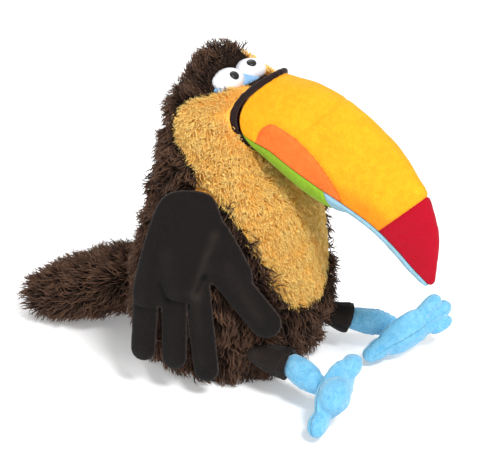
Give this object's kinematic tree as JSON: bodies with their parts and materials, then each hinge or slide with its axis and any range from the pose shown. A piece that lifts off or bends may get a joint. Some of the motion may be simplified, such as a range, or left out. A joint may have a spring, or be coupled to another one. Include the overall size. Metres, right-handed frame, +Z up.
{
  "type": "hand puppet",
  "caption": "Seated plush toucan hand puppet with a hollow sleeve, a long down-curved beak that opens at the mouth, glove wings, dangling legs and a fur tail.",
  "frame": {"origin": "middle of the footprint's bounding box, on the surface that the puppet sits on", "axes": "+Z up; the puppet faces -Y, and its left side is +X"},
  "size_m": [0.2664, 0.4716, 0.333],
  "materials": {
    "brown_pile": "long-pile plush",
    "yellow_plush": "short teddy plush",
    "lining_cloth": "plain woven cloth",
    "stuffing": "loose polyester filling",
    "eye_blue": "short felt",
    "eye_white": "satin-stitched cloth",
    "pupil_black": "satin-stitched cloth",
    "beak_yellow": "velour",
    "beak_orange": "velour",
    "beak_red": "velour",
    "stiff_plate": "stiff board",
    "piping": "soft corded piping",
    "beak_green": "velour",
    "beak_blue": "velour",
    "wing_black": "velour",
    "foot_blue": "velour"
  },
  "bodies": {
    "torso": {"torso_cover": "brown_pile", "belly_panel": "yellow_plush", "hem_binding": "lining_cloth", "body_lining": "lining_cloth", "torso_padding": "stuffing"},
    "neck": {"neck_cuff": "brown_pile", "neck_lining": "lining_cloth"},
    "head": {"head_cover": "brown_pile", "face_panel": "yellow_plush", "head_lining": "lining_cloth", "head_stuffing": "stuffing", "eye_patch": "eye_blue", "right_eye": "eye_white", "left_eye": "eye_white", "right_pupil": "pupil_black", "left_pupil": "pupil_black"},
    "upper_beak": {"upper_beak_cover": "beak_yellow", "right_beak_patch": "beak_orange", "left_beak_patch": "beak_orange", "upper_beak_tip": "beak_red", "upper_beak_filling": "stuffing", "finger_pocket": "lining_cloth", "upper_mouth_lining": "lining_cloth", "upper_palate_plate": "stiff_plate", "upper_beak_ring": "piping"},
    "jaw": {"lower_beak_base": "beak_green", "lower_beak_tip": "beak_blue", "lower_beak_filling": "stuffing", "thumb_pocket": "lining_cloth", "lower_mouth_lining": "lining_cloth", "lower_palate_plate": "stiff_plate", "lower_beak_ring": "piping"},
    "right_wing": {"right_wing": "wing_black"},
    "right_finger_1": {"right_finger_1": "wing_black"},
    "right_finger_2": {"right_finger_2": "wing_black"},
    "right_finger_3": {"right_finger_3": "wing_black"},
    "right_thumb": {"right_thumb": "wing_black"},
    "right_thigh": {"right_thigh": "wing_black"},
    "right_shin": {"right_shin": "foot_blue"},
    "right_foot": {"right_foot": "foot_blue"},
    "left_wing": {"left_wing": "wing_black"},
    "left_finger_1": {"left_finger_1": "wing_black"},
    "left_finger_2": {"left_finger_2": "wing_black"},
    "left_finger_3": {"left_finger_3": "wing_black"},
    "left_thumb": {"left_thumb": "wing_black"},
    "left_thigh": {"left_thigh": "wing_black"},
    "left_shin": {"left_shin": "foot_blue"},
    "left_foot": {"left_foot": "foot_blue"},
    "tail": {"tail": "brown_pile"}
  },
  "joints": [
    {"name": "head_nod", "type": "hinge", "parent": "torso", "child": "neck", "pos_m": [0.0082, -0.0035, 0.176], "axis": [-1, 0, 0], "range_deg": [-20, 11]},
    {"name": "head_turn", "type": "hinge", "parent": "neck", "child": "head", "pos_m": [0.0082, -0.0035, 0.176], "axis": [0, 0, 1], "range_deg": [-20, 20]},
    {"name": "beak_lift", "type": "hinge", "parent": "head", "child": "upper_beak", "pos_m": [0.0082, -0.0335, 0.267], "axis": [-1, 0, 0], "range_deg": [0, 14]},
    {"name": "jaw_drop", "type": "hinge", "parent": "head", "child": "jaw", "pos_m": [0.0082, -0.0335, 0.267], "axis": [1, 0, 0], "range_deg": [0, 9]},
    {"name": "right_wing_lift", "type": "hinge", "parent": "torso", "child": "right_wing", "pos_m": [-0.06867, -0.03456, 0.21192], "axis": [-0.3746, 0.9272, 0], "range_deg": [0, 110]},
    {"name": "right_finger_1_bend", "type": "hinge", "parent": "right_wing", "child": "right_finger_1", "pos_m": [-0.09437, -0.03038, 0.10352], "axis": [-0.3843, 0.9198, -0.0786], "range_deg": [0, 60]},
    {"name": "right_finger_2_bend", "type": "hinge", "parent": "right_wing", "child": "right_finger_2", "pos_m": [-0.10734, -0.0038, 0.08967], "axis": [-0.3769, 0.9261, -0.0172], "range_deg": [0, 60]},
    {"name": "right_finger_3_bend", "type": "hinge", "parent": "right_wing", "child": "right_finger_3", "pos_m": [-0.1189, 0.02442, 0.08868], "axis": [-0.3704, 0.9284, 0.0294], "range_deg": [0, 60]},
    {"name": "right_thumb_bend", "type": "hinge", "parent": "right_wing", "child": "right_thumb", "pos_m": [-0.08049, -0.05389, 0.13071], "axis": [-0.3704, 0.6535, -0.6601], "range_deg": [0, 60]},
    {"name": "right_hip_swing", "type": "hinge", "parent": "torso", "child": "right_thigh", "pos_m": [-0.0618, -0.0755, 0.046], "axis": [-0.9923, -0.124, 0], "range_deg": [-60, 15]},
    {"name": "right_knee_bend", "type": "hinge", "parent": "right_thigh", "child": "right_shin", "pos_m": [-0.0568, -0.1155, 0.041], "axis": [-0.9558, 0.2941, 0], "range_deg": [-20, 20]},
    {"name": "right_ankle_bend", "type": "hinge", "parent": "right_shin", "child": "right_foot", "pos_m": [-0.0688, -0.1545, 0.032], "axis": [0.3956, -0.3928, -0.8302], "range_deg": [-25, 25]},
    {"name": "left_wing_lift", "type": "hinge", "parent": "torso", "child": "left_wing", "pos_m": [0.08864, 0.01656, 0.21192], "axis": [0.2419, -0.9703, 0], "range_deg": [0, 110]},
    {"name": "left_finger_1_bend", "type": "hinge", "parent": "left_wing", "child": "left_finger_1", "pos_m": [0.10698, 0.03504, 0.10352], "axis": [0.2297, -0.9701, 0.0786], "range_deg": [0, 60]},
    {"name": "left_finger_2_bend", "type": "hinge", "parent": "left_wing", "child": "left_finger_2", "pos_m": [0.10185, 0.06417, 0.08967], "axis": [0.2394, -0.9708, 0.0172], "range_deg": [0, 60]},
    {"name": "left_finger_3_bend", "type": "hinge", "parent": "left_wing", "child": "left_finger_3", "pos_m": [0.09462, 0.0938, 0.08868], "axis": [0.2461, -0.9688, -0.0294], "range_deg": [0, 60]},
    {"name": "left_thumb_bend", "type": "hinge", "parent": "left_wing", "child": "left_thumb", "pos_m": [0.10957, 0.00786, 0.13071], "axis": [0.0844, -0.7464, 0.6601], "range_deg": [0, 60]},
    {"name": "left_hip_swing", "type": "hinge", "parent": "torso", "child": "left_thigh", "pos_m": [0.0562, -0.0885, 0.046], "axis": [-0.8321, -0.5547, 0], "range_deg": [-60, 50]},
    {"name": "left_knee_bend", "type": "hinge", "parent": "left_thigh", "child": "left_shin", "pos_m": [0.0722, -0.1125, 0.038], "axis": [-0.8575, -0.5145, 0], "range_deg": [-20, 20]},
    {"name": "left_ankle_bend", "type": "hinge", "parent": "left_shin", "child": "left_foot", "pos_m": [0.0962, -0.1525, 0.031], "axis": [-0.2723, 0.2759, 0.9218], "range_deg": [-12, 25]},
    {"name": "tail_lift", "type": "hinge", "parent": "torso", "child": "tail", "pos_m": [0.0082, 0.1045, 0.06], "axis": [1, 0, 0], "range_deg": [-15, 30]}
  ]
}
